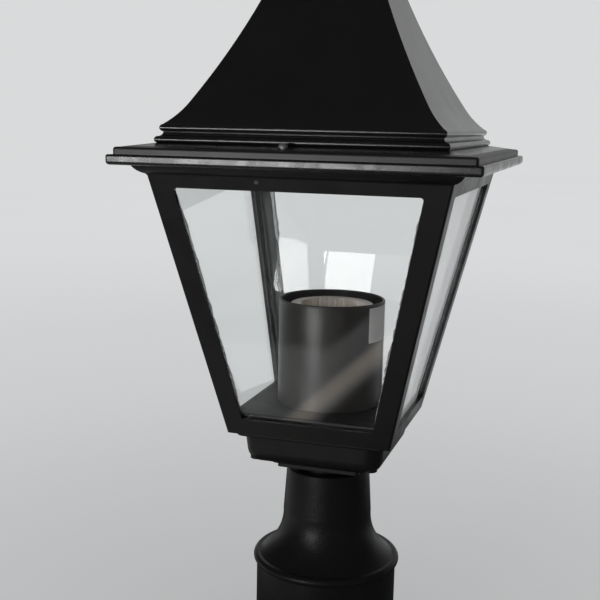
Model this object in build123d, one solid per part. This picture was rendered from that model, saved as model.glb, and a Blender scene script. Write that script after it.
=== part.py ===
from build123d import *
import math
import os

# Post top lantern: a four-sided tapering cast cage with clear panes, a concave hipped
# roof that lifts off for changing the lamp, an E27 lampholder in a metal cup, and a
# round collar that slips over a 60 mm post and is held by three grub screws.
# Millimetres, +Z up, origin in the middle of the collar's bottom rim. The front is -Y.

# ---------------------------------------------------------------- driving dimensions
BRIM_W = 77.5              # half width of the roof's brim
POST_BORE_R = 30.25        # slips over a 60 mm post
POST_BORE_L = 50.0
COLLAR_TOP_Z = 100.0       # top rim of the round neck
NECK_TOP_R = 19.9
NECK_TAPER = 0.065         # growth of the neck's radius per millimetre going down
FOOT_W = 19.7              # half width of the square plate on the neck
FOOT_T = 1.9
FOOT_GAP = 2.9             # spigot between the neck's rim and the square plate
FRAME_BASE_Z = 122.8       # underside of the cage
FRAME_BASE_W = 37.9
FRAME_TOP_Z = 240.3        # where the leaning faces meet the moulding under the brim
FRAME_TOP_W = 64.8
FRAME_T = 1.9              # thickness of the cage's walls
WINDOW_LOW_Z = 130.3
WINDOW_HIGH_Z = 235.2
BAR_LOW = 9.2              # width of a corner bar on each face, at the window's foot
BAR_HIGH = 10.4            # and at its head
GLASS_T = 2.0
BRIM_Z = 244.5             # bottom of the roof's fascia
RING_TOP_Z = 247.0         # top of the cage's ring
GASKET_T = 1.0
FASCIA_H = 4.3
STEP_W = 75.2
STEP_TOP_Z = 251.9
ROOF_FOOT = (59.5, 261.5)  # half width and height where the sweep of the roof begins
ROOF_SWEEP = (38.0, 58.0, 68.0)   # steepness of the sweep, in degrees, from foot to top
ROOF_RADII = (36.0, 345.0)
ROOF_T = 2.5
FLOOR_TOP_Z = 132.4
CUP_R = 25.0
CUP_TOP_Z = 182.4
HOLDER_R = 19.8
HOLDER_TOP_Z = 179.9
HOLDER_BASE_Z = 143.0
NIPPLE_R = 5.0             # M10 x 1 threaded tube
NIPPLE_BORE_R = 4.0
LEAD_R = 1.1
ROOF_SCREW_X = 3.6         # the roof screws stand a little off the middle of the brim
ROOF_SCREW_Y = 67.0
GRUB_R = 3.0               # M6
GRUB_Z = 25.0
FIT = 0.05                 # radial clearance of a screw or tube in its hole
REACH = 200.0              # longer than any piece, for cutting
PAST = 1.0                 # how far a cut runs past the surface it opens

LEAN = math.atan((FRAME_TOP_W - FRAME_BASE_W) / (FRAME_TOP_Z - FRAME_BASE_Z))
GLASS_ACROSS = GLASS_T / math.cos(LEAN)      # thickness of a pane measured level
PANE_OUT = FRAME_T + 0.1                     # outer face of a pane behind the cage's face
PANE_IN = PANE_OUT + GLASS_ACROSS
PANE_TOP_Z = WINDOW_HIGH_Z + 1.0
FOOT_Z = COLLAR_TOP_Z + FOOT_GAP
TRAY_BASE_Z = FOOT_Z + FOOT_T
WEB_TOP_Z = FRAME_BASE_Z + 2.2               # top of the web inside the cage's foot
ROOF_UNDER_Z = RING_TOP_Z + GASKET_T
ROOF_SCREWS_AT = ((-ROOF_SCREW_X, -ROOF_SCREW_Y), (ROOF_SCREW_X, ROOF_SCREW_Y))

os.makedirs("parts", exist_ok=True)


# ---------------------------------------------------------------- shape helpers
def cage_w(z):
    """Half width of the cage's leaning outer face at height z."""
    rise = (z - FRAME_BASE_Z) / (FRAME_TOP_Z - FRAME_BASE_Z)
    return FRAME_BASE_W + (FRAME_TOP_W - FRAME_BASE_W) * rise


def closed_face(edges):
    """Face in the XZ plane from edges drawn as (distance from axis, z)."""
    pieces = [piece for edge in edges for piece in edge.edges()]
    return Plane.XZ * make_face(pieces)


def turned(edges):
    """Round piece: the outline turned about Z."""
    return revolve(closed_face(edges), Axis.Z)


def square_moulded(edges):
    """Square piece with mitred corners: the half outline run along all four sides."""
    half = closed_face(edges)
    along_y = extrude(half + mirror(half, Plane.YZ), REACH, both=True)
    return along_y & Rot(0, 0, 90) * along_y


def frustum(low_z, low_w, high_z, high_w):
    """Square frustum given by its half widths at two heights."""
    low = Plane.XY.offset(low_z) * Rectangle(2 * low_w, 2 * low_w)
    high = Plane.XY.offset(high_z) * Rectangle(2 * high_w, 2 * high_w)
    return loft([low, high], ruled=True)


def slab(low_z, high_z, half_w, corner):
    """Square slab with rounded upright edges."""
    plan = Plane.XY.offset(low_z) * RectangleRounded(2 * half_w, 2 * half_w, corner)
    return extrude(plan, high_z - low_z)


def rod(x, y, low_z, high_z, radius):
    """Upright cylinder."""
    height = high_z - low_z
    return Pos(x, y, low_z + height / 2) * Cylinder(radius, height)


def block(x, y, z):
    """Box from three (low, high) pairs."""
    sizes = [high - low for low, high in (x, y, z)]
    middle = [(high + low) / 2 for low, high in (x, y, z)]
    return Pos(*middle) * Box(*sizes)


def hexagon(low_z, high_z, across_flats):
    """Upright hexagonal prism on the axis."""
    plan = RegularPolygon(across_flats / 2, 6, major_radius=False)
    return extrude(Plane.XY.offset(low_z) * plan, high_z - low_z)


def four_corners(x, y):
    """The four mirror places of a point in plan."""
    return [(sx * x, sy * y) for sx in (1, -1) for sy in (1, -1)]


def lead(points, radii):
    """Insulated wire along straight runs joined by bends."""
    route = FilletPolyline(*points, radius=radii)
    start = Plane(route @ 0, z_dir=route % 0)
    return sweep(start * Circle(LEAD_R), path=route)


def write(node, shape):
    """Save one node under its name."""
    solids = shape.solids()
    part = solids[0] if len(solids) == 1 else Compound(children=list(solids))
    part.label = node
    export_step(part, f"parts/{node}.step")


# ---------------------------------------------------------------- collar on the post
SKIRT_R = 34.0
COLLAR_LIP_R = 35.4
COLLAR_LIP_H = 4.0
COLLAR_LIP_EASE = 0.8
BEAD_H = 4.0               # round bead under the shoulder
BEAD_OUT = 1.6
SHOULDER_Z = 56.0
NECK_DISC_R = 31.0         # the neck's foot disc sits in a rebate of the collar
NECK_DISC_HOLE_R = 20.0
NECK_FOOT_Z = 78.0
NECK_EDGE_R = SKIRT_R - 1.5
NECK_SWEEP_AT = (24.7, 64.2)         # point half way up the sweep of the neck's foot
NECK_CONE_Z = 62.0         # where the hollow begins to narrow
NECK_RIM_ROUND = 0.9
NECK_FOOT_R = NECK_TOP_R + NECK_TAPER * (COLLAR_TOP_Z - NECK_FOOT_Z)
NECK_T = 3.2
NECK_WEB_Z = 94.0          # underside of the web that the threaded tube passes
SPIGOT_R = 15.0
BOSS_R = 6.0
BOSS_OUT = 36.0
GRUB_LEN = 8.0
GRUB_CHAMFER = 0.5
GRUB_SOCKET_L = 3.0
GRUB_SOCKET_FLATS = 3.0
GRUB_ANGLES = (90.0, 210.0, 330.0)


def radial(angle):
    """Plane square to a radius of the collar, at the height of the grub screws."""
    out = Vector(math.cos(math.radians(angle)), math.sin(math.radians(angle)), 0)
    return Plane(origin=(0, 0, GRUB_Z), z_dir=out)


def post_collar():
    """Sleeve over the post, with a lip at its foot, a bead at its top and three bosses."""
    lip_top = (COLLAR_LIP_R, COLLAR_LIP_H)
    lip_hollow = (SKIRT_R + 0.3 * (COLLAR_LIP_R - SKIRT_R), 1.15 * COLLAR_LIP_H)
    skirt_low = (SKIRT_R, 1.5 * COLLAR_LIP_H)
    bead_low = (SKIRT_R, SHOULDER_Z - BEAD_H)
    bead_out = (SKIRT_R + BEAD_OUT, SHOULDER_Z - BEAD_H / 2)
    shoulder = (SKIRT_R, SHOULDER_Z)
    body = turned([
        Polyline((0, 0), (COLLAR_LIP_R - COLLAR_LIP_EASE, 0), (COLLAR_LIP_R, COLLAR_LIP_EASE), lip_top),
        ThreePointArc(lip_top, lip_hollow, skirt_low),
        Line(skirt_low, bead_low),
        ThreePointArc(bead_low, bead_out, shoulder),
        Polyline(shoulder, (0, SHOULDER_Z), (0, 0)),
    ])
    wall_r = (POST_BORE_R + SKIRT_R) / 2
    for angle in GRUB_ANGLES:
        body += extrude(radial(angle).offset(wall_r) * Circle(BOSS_R), BOSS_OUT - wall_r)
    body -= rod(0, 0, -PAST, POST_BORE_L, POST_BORE_R)
    body -= rod(0, 0, POST_BORE_L, SHOULDER_Z + PAST, NECK_DISC_R + FIT)
    for angle in GRUB_ANGLES:
        body -= extrude(radial(angle).offset(POST_BORE_R - PAST) * Circle(GRUB_R + FIT), SKIRT_R)
    return body


def neck():
    """Hollow tapering neck: a foot disc let into the collar, a sweep, and a web at its top."""
    rim_low = (NECK_TOP_R + NECK_TAPER * NECK_RIM_ROUND, COLLAR_TOP_Z - NECK_RIM_ROUND)
    rim_mid = (NECK_TOP_R - 0.28 * NECK_RIM_ROUND, COLLAR_TOP_Z - 0.28 * NECK_RIM_ROUND)
    rim_top = (NECK_TOP_R - NECK_RIM_ROUND, COLLAR_TOP_Z)
    outside = turned([
        Polyline((0, POST_BORE_L), (NECK_DISC_R, POST_BORE_L), (NECK_DISC_R, SHOULDER_Z)),
        Line((NECK_DISC_R, SHOULDER_Z), (NECK_EDGE_R, SHOULDER_Z)),
        ThreePointArc((NECK_EDGE_R, SHOULDER_Z), NECK_SWEEP_AT, (NECK_FOOT_R, NECK_FOOT_Z)),
        Line((NECK_FOOT_R, NECK_FOOT_Z), rim_low),
        ThreePointArc(rim_low, rim_mid, rim_top),
        Polyline(rim_top, (SPIGOT_R, COLLAR_TOP_Z), (SPIGOT_R, FOOT_Z), (0, FOOT_Z), (0, POST_BORE_L)),
    ])
    hollow = turned([
        Polyline(
            (0, POST_BORE_L - PAST),
            (NECK_DISC_HOLE_R, POST_BORE_L - PAST),
            (NECK_DISC_HOLE_R, NECK_CONE_Z),
            (NECK_FOOT_R - NECK_T, NECK_FOOT_Z),
            (NECK_TOP_R - NECK_T, NECK_WEB_Z),
            (0, NECK_WEB_Z),
            (0, POST_BORE_L - PAST),
        ),
    ])
    return outside - hollow - rod(0, 0, NECK_WEB_Z - PAST, FOOT_Z + PAST, NIPPLE_R + FIT)


def grub_screw(angle):
    """Set screw backed off until its point is flush with the bore."""
    tip = POST_BORE_R + 0.1
    shank = extrude(radial(angle).offset(tip) * Circle(GRUB_R), GRUB_LEN)
    shank = chamfer(shank.edges(), GRUB_CHAMFER)
    key = RegularPolygon(GRUB_SOCKET_FLATS / 2, 6, major_radius=False)
    return shank - extrude(radial(angle).offset(tip + GRUB_LEN - GRUB_SOCKET_L) * key, GRUB_SOCKET_L + PAST)


# ---------------------------------------------------------------- base under the cage
TRAY_RIM_W = 35.4
TRAY_RIM_T = 2.0
TRAY_W = 33.0
TRAY_LOW_W = 31.6
TRAY_CORNER = 7.5
TRAY_ROUND = 6.6
TRAY_T = 2.6
DISH_H = 2.7               # the bottom falls a little towards the square plate
DISH_W = 24.0
DISH_FOOT_W = FOOT_W + 0.8
TRAY_BOSS_R = 3.3
TRAY_BOSS_HOLE_L = 8.0
BOSS_AT = 26.9             # where the four screws join tray and cage
BOSS_SCREW_R = 1.5


def tray_form(shrink, floor_z):
    """Tapering bowl with rounded corners, drawn in from the outer form by shrink."""
    high_z = FRAME_BASE_Z - TRAY_RIM_T
    corner = TRAY_CORNER - shrink
    high = Plane.XY.offset(high_z) * RectangleRounded(
        2 * (TRAY_W - shrink), 2 * (TRAY_W - shrink), corner
    )
    low = Plane.XY.offset(floor_z) * RectangleRounded(
        2 * (TRAY_LOW_W - shrink), 2 * (TRAY_LOW_W - shrink), corner
    )
    bowl = loft([low, high], ruled=True)
    rim = bowl.faces().sort_by(Axis.Z)[0].edges()
    return fillet(rim, TRAY_ROUND - shrink)


def base_tray():
    bottom_z = TRAY_BASE_Z + DISH_H
    body = tray_form(0, bottom_z)
    dish = square_moulded([
        Polyline(
            (0, bottom_z + PAST),
            (DISH_W, bottom_z + PAST),
            (DISH_W, bottom_z),
            (DISH_FOOT_W, TRAY_BASE_Z),
            (0, TRAY_BASE_Z),
            (0, bottom_z + PAST),
        ),
    ])
    dish = dish & slab(TRAY_BASE_Z - PAST, bottom_z + 2 * PAST, DISH_W, 3.0)
    rim = slab(FRAME_BASE_Z - TRAY_RIM_T, FRAME_BASE_Z, TRAY_RIM_W, 4.0)
    rim = fillet(rim.faces().sort_by(Axis.Z)[0].edges(), 0.9)
    body = body + dish + rim
    body -= tray_form(TRAY_T, bottom_z + TRAY_T)
    mouth_low_z = FRAME_BASE_Z - TRAY_RIM_T - PAST / 2
    body -= slab(mouth_low_z, FRAME_BASE_Z + PAST, TRAY_W - TRAY_T, TRAY_CORNER - TRAY_T)
    within = slab(TRAY_BASE_Z, FRAME_BASE_Z, TRAY_W - TRAY_T / 2, TRAY_CORNER - TRAY_T / 2)
    for x, y in four_corners(BOSS_AT, BOSS_AT):
        body += rod(x, y, bottom_z + TRAY_T / 2, FRAME_BASE_Z, TRAY_BOSS_R) & within
        body -= rod(x, y, FRAME_BASE_Z - TRAY_BOSS_HOLE_L, FRAME_BASE_Z + PAST, BOSS_SCREW_R)
    return body - rod(0, 0, TRAY_BASE_Z - PAST, bottom_z + TRAY_T + PAST, NIPPLE_R + FIT)


def frame_screws():
    """Four screws down through the cage's web into the bosses of the base."""
    screws = []
    for x, y in four_corners(BOSS_AT, BOSS_AT):
        screws.append(pan_head_screw(x, y, WEB_TOP_Z, 2.8, 2.0, BOSS_SCREW_R, TRAY_BOSS_HOLE_L))
    return Compound(children=screws)


def foot_plate():
    plate = slab(FOOT_Z, TRAY_BASE_Z, FOOT_W, 1.6)
    return plate - rod(0, 0, FOOT_Z - PAST, TRAY_BASE_Z + PAST, NIPPLE_R + FIT)


def pan_head_screw(x, y, under_z, head_r, head_h, shank_r, shank_len):
    """Upright screw with a domed head that bears on under_z, its shank going down."""
    crown_z = under_z + head_h
    edge_z = under_z + 0.35 * head_h
    head = turned([
        Polyline((0, under_z), (head_r, under_z), (head_r, edge_z)),
        ThreePointArc((head_r, edge_z), (0.76 * head_r, under_z + 0.82 * head_h), (0, crown_z)),
        Line((0, crown_z), (0, under_z)),
    ])
    slot_r = 0.16 * head_r
    cross = block((-0.6 * head_r, 0.6 * head_r), (-slot_r, slot_r), (crown_z - 0.45 * head_h, crown_z + 1))
    cross += Rot(0, 0, 90) * cross
    shank = rod(0, 0, under_z - shank_len, under_z, shank_r)
    shank = chamfer(shank.faces().sort_by(Axis.Z)[0].edges(), 0.3 * shank_r)
    return Pos(x, y, 0) * (head + shank - cross)


# ---------------------------------------------------------------- cage and panes
RING_W = 72.5
RING_IN_W = 60.6
OVOLO_IN = (65.1, 240.8)   # the moulding swells from here out to the brim
OVOLO_MID = (67.6, 242.0)
OVOLO_OUT = (69.8, BRIM_Z)
WEB_HOLE_W = 23.8
HIP_ROUND = 1.0
WINDOW_CORNER = 1.2
ROOF_SCREW_HOLE_R = 1.5
ROOF_SCREW_HOLE_Z = 243.2
CORNER_GAP = 0.35          # between the edges of neighbouring panes


def window_cutter():
    """Trapezium with slightly rounded corners, cut through the front wall along Y."""
    low = cage_w(WINDOW_LOW_Z) - BAR_LOW
    high = cage_w(WINDOW_HIGH_Z) - BAR_HIGH
    outline = Polyline(
        (-low, WINDOW_LOW_Z), (low, WINDOW_LOW_Z), (high, WINDOW_HIGH_Z), (-high, WINDOW_HIGH_Z), close=True
    )
    opening = fillet(make_face(outline).vertices(), WINDOW_CORNER)
    return extrude(Plane.XZ * opening, REACH / 2)


def lantern_frame():
    cage = frustum(FRAME_BASE_Z, FRAME_BASE_W, FRAME_TOP_Z, FRAME_TOP_W)
    hips = [edge for edge in cage.edges() if abs((edge % 0.5).Z) > 0.5]
    cage = fillet(hips, HIP_ROUND)
    ring = square_moulded([
        Polyline((0, FRAME_TOP_Z), (FRAME_TOP_W, FRAME_TOP_Z), OVOLO_IN),
        ThreePointArc(OVOLO_IN, OVOLO_MID, OVOLO_OUT),
        Polyline(OVOLO_OUT, (RING_W, BRIM_Z), (RING_W, RING_TOP_Z), (0, RING_TOP_Z), (0, FRAME_TOP_Z)),
    ])
    cage += ring
    cage -= frustum(WEB_TOP_Z, cage_w(WEB_TOP_Z) - FRAME_T, PANE_TOP_Z, cage_w(PANE_TOP_Z) - FRAME_T)
    cage -= frustum(PANE_TOP_Z - PAST / 10, RING_IN_W, RING_TOP_Z + PAST, RING_IN_W)
    cage -= slab(FRAME_BASE_Z - PAST, WEB_TOP_Z + PAST, WEB_HOLE_W, 3.0)
    for turn in range(4):
        cage -= Rot(0, 0, 90 * turn) * window_cutter()
    for x, y in four_corners(BOSS_AT, BOSS_AT):
        cage -= rod(x, y, FRAME_BASE_Z - PAST, WEB_TOP_Z + PAST, BOSS_SCREW_R + 0.2)
    for x, y in ROOF_SCREWS_AT:
        cage -= rod(x, y, ROOF_SCREW_HOLE_Z, RING_TOP_Z + PAST, ROOF_SCREW_HOLE_R)
    return cage


def glass_pane():
    """Front pane: it stands on the cage's web and reaches up behind the top rail."""
    def plan(z):
        outer = cage_w(z) - PANE_OUT
        inner = cage_w(z) - PANE_IN
        half = inner - CORNER_GAP
        middle_y = -(outer + inner) / 2
        return Plane.XY.offset(z) * Pos(0, middle_y) * Rectangle(2 * half, outer - inner)

    return loft([plan(WEB_TOP_Z), plan(PANE_TOP_Z)], ruled=True)


def silicone_beads():
    """Clear sealant in the four upright corners, between the edges of the panes."""
    def plan(z, sx, sy):
        outer = cage_w(z) - PANE_OUT
        inner = cage_w(z) - PANE_IN - CORNER_GAP + 0.1
        middle = (outer + inner) / 2
        return Plane.XY.offset(z) * Pos(sx * middle, sy * middle) * Rectangle(outer - inner, outer - inner)

    def bead(sx, sy):
        return loft([plan(WEB_TOP_Z, sx, sy), plan(WINDOW_HIGH_Z, sx, sy)], ruled=True)

    return Compound(children=[bead(sx, sy) for sx, sy in four_corners(1, 1)])


# ---------------------------------------------------------------- roof
CAP_W = 27.0
CAP_T = 7.0
CAP_EDGE_H = 1.8
CAP_TOP_W = 12.5
CAP_SWEEP_W = 18.6
CAP_SWEEP_DROP = 2.9
STUD_R = 2.5
SKIRT_IN_W = 75.3          # inside of the fascia, clear of the cage's ring
SCREW_FACE_Z = 253.1       # spot face under a roof screw's head
SCREW_FACE_R = 2.4
FASCIA_CORNER = 1.1        # roundings of the fascia and of the step on it
FASCIA_TOP_ROUND = 0.9
FASCIA_LOW_ROUND = 1.5
STEP_CORNER = 1.2
STEP_ROUND = 1.1
BRIM_FALL = (73.2, 61.5, 253.7)      # the brim's top rises from the step to the mouldings
LOW_BEAD = ((61.5, 253.7), (62.4, 255.1), (61.2, 256.5))
COVE = ((61.2, 256.5), (59.9, 257.1), (59.4, 258.4))
HIGH_BEAD = ((59.4, 258.4), (60.7, 259.9))
HOLLOW_W = 58.2            # half width of the roof's hollow behind the mouldings
HOLLOW_TURN_Z = 255.0
GASKET_OUT_W = 71.5
GASKET_IN_W = 62.4


def sweep_point(centre, radius, angle):
    """Point of the roof's concave sweep where its slope has the given angle."""
    slope = math.radians(angle)
    return (centre[0] - radius * math.sin(slope), centre[1] - radius * math.cos(slope))


def sweep_centre(point, radius, angle):
    slope = math.radians(angle)
    return (point[0] + radius * math.sin(slope), point[1] + radius * math.cos(slope))


FOOT_ANGLE, MID_ANGLE, TOP_ANGLE = ROOF_SWEEP
LOW_R, HIGH_R = ROOF_RADII
LOW_CENTRE = sweep_centre(ROOF_FOOT, LOW_R, FOOT_ANGLE)
SWEEP_MID = sweep_point(LOW_CENTRE, LOW_R, MID_ANGLE)
HIGH_CENTRE = sweep_centre(SWEEP_MID, HIGH_R, MID_ANGLE)
ROOF_TOP = sweep_point(HIGH_CENTRE, HIGH_R, TOP_ANGLE)
ROOF_TOP_Z = ROOF_TOP[1]
CAP_Z = ROOF_TOP_Z + CAP_T


def roof_sweep(offset, top_angle):
    """The two arcs of the sweep, moved inwards by offset, and their end points."""
    foot = sweep_point(LOW_CENTRE, LOW_R + offset, FOOT_ANGLE)
    low = sweep_point(LOW_CENTRE, LOW_R + offset, (FOOT_ANGLE + MID_ANGLE) / 2)
    middle = sweep_point(LOW_CENTRE, LOW_R + offset, MID_ANGLE)
    high = sweep_point(HIGH_CENTRE, HIGH_R + offset, (MID_ANGLE + top_angle) / 2)
    top = sweep_point(HIGH_CENTRE, HIGH_R + offset, top_angle)
    return [ThreePointArc(foot, low, middle), ThreePointArc(middle, high, top)], foot, top


def roof_canopy():
    fascia = slab(BRIM_Z, BRIM_Z + FASCIA_H, BRIM_W, FASCIA_CORNER)
    fascia = fillet(fascia.faces().sort_by(Axis.Z)[-1].edges(), FASCIA_TOP_ROUND)
    step = slab(BRIM_Z + FASCIA_H / 2, STEP_TOP_Z, STEP_W, STEP_CORNER)
    step = fillet(step.faces().sort_by(Axis.Z)[-1].edges(), STEP_ROUND)

    arcs, foot, top = roof_sweep(0, TOP_ANGLE)
    step_w, rise_w, rise_z = BRIM_FALL
    inside_z = STEP_TOP_Z - PAST
    hood = square_moulded([
        Polyline((0, inside_z), (step_w, inside_z), (step_w, STEP_TOP_Z), (rise_w, rise_z)),
        ThreePointArc(*LOW_BEAD),
        ThreePointArc(*COVE),
        ThreePointArc(*HIGH_BEAD, foot),
        *arcs,
        Polyline(top, (0, ROOF_TOP_Z), (0, inside_z)),
    ])
    ceiling_z = ROOF_TOP_Z - ROOF_T
    centre_drop = (HIGH_CENTRE[1] - ceiling_z) / (HIGH_R + ROOF_T)
    arcs_in, foot_in, top_in = roof_sweep(ROOF_T, math.degrees(math.acos(centre_drop)))
    hollow = square_moulded([
        Polyline(
            (0, ROOF_UNDER_Z - PAST), (HOLLOW_W, ROOF_UNDER_Z - PAST), (HOLLOW_W, HOLLOW_TURN_Z), foot_in
        ),
        *arcs_in,
        Polyline(top_in, (0, ceiling_z), (0, ROOF_UNDER_Z - PAST)),
    ])
    skirt = slab(BRIM_Z, ROOF_UNDER_Z + PAST, BRIM_W, FASCIA_CORNER)
    skirt = fillet(skirt.faces().sort_by(Axis.Z)[0].edges(), FASCIA_LOW_ROUND)
    fascia &= skirt
    roof = fascia + step + hood - hollow
    roof -= slab(BRIM_Z - PAST, ROOF_UNDER_Z, SKIRT_IN_W, 1.5)
    roof -= rod(0, 0, ceiling_z - PAST, ROOF_TOP_Z + PAST, STUD_R + 0.2)
    for x, y in ROOF_SCREWS_AT:
        roof -= rod(x, y, ROOF_UNDER_Z - PAST, SCREW_FACE_Z + PAST, ROOF_SCREW_HOLE_R + 0.2)
        roof -= rod(x, y, SCREW_FACE_Z, SCREW_FACE_Z + 4 * PAST, SCREW_FACE_R)
    return roof


def roof_screw(x, y):
    return pan_head_screw(x, y, SCREW_FACE_Z, 2.0, 1.7, 1.45, 9.3)


def roof_gasket():
    ring = slab(RING_TOP_Z, ROOF_UNDER_Z, GASKET_OUT_W, 2.0)
    ring -= slab(RING_TOP_Z - PAST, ROOF_UNDER_Z + PAST, GASKET_IN_W, 1.0)
    for x, y in ROOF_SCREWS_AT:
        ring -= rod(x, y, RING_TOP_Z - PAST, ROOF_UNDER_Z + PAST, ROOF_SCREW_HOLE_R + 0.4)
    return ring


def roof_cap():
    edge_z = ROOF_TOP_Z + CAP_EDGE_H
    brow = (CAP_W - 1.2, edge_z + 0.8)
    cap = square_moulded([
        Polyline((0, ROOF_TOP_Z), (CAP_W, ROOF_TOP_Z), (CAP_W, edge_z), brow),
        ThreePointArc(brow, (CAP_SWEEP_W, CAP_Z - CAP_SWEEP_DROP), (CAP_TOP_W, CAP_Z)),
        Polyline((CAP_TOP_W, CAP_Z), (0, CAP_Z), (0, ROOF_TOP_Z)),
    ])
    return cap - rod(0, 0, ROOF_TOP_Z - 1, CAP_Z + 1, STUD_R + 0.2)


FINIAL_HOLE_L = 13.0
FINIAL_BALL_R = 8.2
FINIAL_BALL_Z = CAP_Z + 17.0
FINIAL_TIP_Z = CAP_Z + 35.0
FINIAL_TIP_R = 1.2
FINIAL_FOOT_R = 10.4
FINIAL_STEM_R = 5.0
FINIAL_RING_R = 6.6
FINIAL_COLLAR_R = 4.4      # under the ball
FINIAL_NECK_R = 3.0        # over the ball


def finial():
    foot_top = (FINIAL_FOOT_R, CAP_Z + 1.4)
    ring_low = (FINIAL_STEM_R, CAP_Z + 5.2)
    ring_high = (FINIAL_STEM_R, CAP_Z + 7.6)
    ball_low = (FINIAL_COLLAR_R, FINIAL_BALL_Z - math.sqrt(FINIAL_BALL_R ** 2 - FINIAL_COLLAR_R ** 2))
    ball_high = (FINIAL_NECK_R, FINIAL_BALL_Z + math.sqrt(FINIAL_BALL_R ** 2 - FINIAL_NECK_R ** 2))
    bead_mid = (1.3 * FINIAL_NECK_R, ball_high[1] + 1.2)
    spike_foot = (0.8 * FINIAL_NECK_R, ball_high[1] + 2.4)
    tip_low = (FINIAL_TIP_R, FINIAL_TIP_Z - FINIAL_TIP_R)
    tip_mid = (0.6 * FINIAL_TIP_R, FINIAL_TIP_Z - 0.2 * FINIAL_TIP_R)
    body = turned([
        Polyline((0, CAP_Z), (FINIAL_FOOT_R, CAP_Z), foot_top),
        ThreePointArc(foot_top, (FINIAL_RING_R, CAP_Z + 2.6), ring_low),
        ThreePointArc(ring_low, (FINIAL_RING_R, CAP_Z + 6.4), ring_high),
        Line(ring_high, ball_low),
        ThreePointArc(ball_low, (FINIAL_BALL_R, FINIAL_BALL_Z), ball_high),
        ThreePointArc(ball_high, bead_mid, spike_foot),
        Line(spike_foot, tip_low),
        ThreePointArc(tip_low, tip_mid, (0, FINIAL_TIP_Z)),
        Line((0, FINIAL_TIP_Z), (0, CAP_Z)),
    ])
    return body - rod(0, 0, CAP_Z - PAST, CAP_Z + FINIAL_HOLE_L, STUD_R + FIT)


def finial_stud():
    return rod(0, 0, ROOF_TOP_Z - ROOF_T - 8.0, CAP_Z + FINIAL_HOLE_L - 1.0, STUD_R)


def finial_nut():
    """Washer and hexagon nut under the top of the roof."""
    ceiling_z = ROOF_TOP_Z - ROOF_T
    washer = rod(0, 0, ceiling_z - 1.0, ceiling_z, 5.0)
    nut = hexagon(ceiling_z - 5.0, ceiling_z - 1.0, 8.0)
    nut &= turned([
        Polyline((0, ceiling_z - 5.0), (3.9, ceiling_z - 5.0), (4.7, ceiling_z - 4.5)),
        Polyline((4.7, ceiling_z - 4.5), (4.7, ceiling_z - 1.0), (0, ceiling_z - 1.0), (0, ceiling_z - 5.0)),
    ])
    return nut + washer - rod(0, 0, ceiling_z - 6, ceiling_z + 1, STUD_R + FIT)


# ---------------------------------------------------------------- where the leads run
LEAD_SPREAD = 1.75         # the three leads lie in a triangle in the tube
LIVE_ANGLE = 60.0
NEUTRAL_ANGLE = 180.0
EARTH_ANGLE = 300.0
LEAD_OVER_Z = HOLDER_BASE_Z - 1.25   # level run above the tube's end, below the ceramic
BEND_R = 2.4
EARTH_LEAD_UP = 1.3        # height of the earth lead over the floor of the cup


def tube_place(angle):
    """Where one of the three leads lies in the threaded tube."""
    turn = math.radians(angle)
    return (LEAD_SPREAD * math.cos(turn), LEAD_SPREAD * math.sin(turn))


# ---------------------------------------------------------------- floor and lampholder
FLOOR_T = 1.2
CUP_T = 0.8
CUP_LIP_R = 0.75
BRACKET_T = 1.5
CUP_FLOOR_Z = FLOOR_TOP_Z + CUP_T
BRACKET_Z = CUP_FLOOR_Z + BRACKET_T
NUT_H = 4.0
NUT_FLATS = 16.0
NIPPLE_TOP_Z = BRACKET_Z + NUT_H + 0.8
NIPPLE_LOW_Z = 87.0
BRACKET_HALF = 6.5
LEG_X = 10.5
TAB_X = 18.6
HOLDER_SCREW_X = 15.0
EARTH_AT = (14.2, -14.2)
EARTH_SCREW_R = 1.9


def floor_plate():
    """Pressed plate with its edges turned down onto the web of the cage."""
    gap = PANE_IN + 0.25
    outer = frustum(WEB_TOP_Z, cage_w(WEB_TOP_Z) - gap, FLOOR_TOP_Z, cage_w(FLOOR_TOP_Z) - gap)
    outer = fillet(outer.faces().sort_by(Axis.Z)[-1].edges(), 0.9)
    under_z = FLOOR_TOP_Z - FLOOR_T
    inner = frustum(
        WEB_TOP_Z - 1, cage_w(WEB_TOP_Z - 1) - gap - FLOOR_T, under_z, cage_w(under_z) - gap - FLOOR_T
    )
    plate = outer - inner - rod(0, 0, under_z - 1, FLOOR_TOP_Z + 1, NIPPLE_R + FIT)
    return plate - rod(*EARTH_AT, under_z - 1, FLOOR_TOP_Z + 1, EARTH_SCREW_R + 0.1)


def holder_cup():
    lip_z = CUP_TOP_Z - CUP_LIP_R
    inner_r = CUP_R - CUP_T - 0.15
    cup = turned([
        Polyline((0, FLOOR_TOP_Z), (CUP_R - 1.15, FLOOR_TOP_Z), (CUP_R - 0.15, FLOOR_TOP_Z + 1.0)),
        Line((CUP_R - 0.15, FLOOR_TOP_Z + 1.0), (CUP_R - 0.15, lip_z - 0.6)),
        ThreePointArc((CUP_R - 0.15, lip_z - 0.6), (CUP_R, lip_z), (CUP_R - CUP_LIP_R, CUP_TOP_Z)),
        ThreePointArc((CUP_R - CUP_LIP_R, CUP_TOP_Z), (inner_r - 0.3, lip_z), (inner_r, lip_z - 0.6)),
        Polyline((inner_r, lip_z - 0.6), (inner_r, CUP_FLOOR_Z), (0, CUP_FLOOR_Z), (0, FLOOR_TOP_Z)),
    ])
    cup -= rod(0, 0, FLOOR_TOP_Z - 1, CUP_FLOOR_Z + 1, NIPPLE_R + FIT)
    return cup - rod(*EARTH_AT, FLOOR_TOP_Z - 1, CUP_FLOOR_Z + 1, EARTH_SCREW_R + 0.1)


STICKER_LOW_Z = 164.6
STICKER_HIGH_Z = 180.8
STICKER_FROM = 59.0        # degrees round the cup from the front towards the right
STICKER_TO = 112.0


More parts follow.
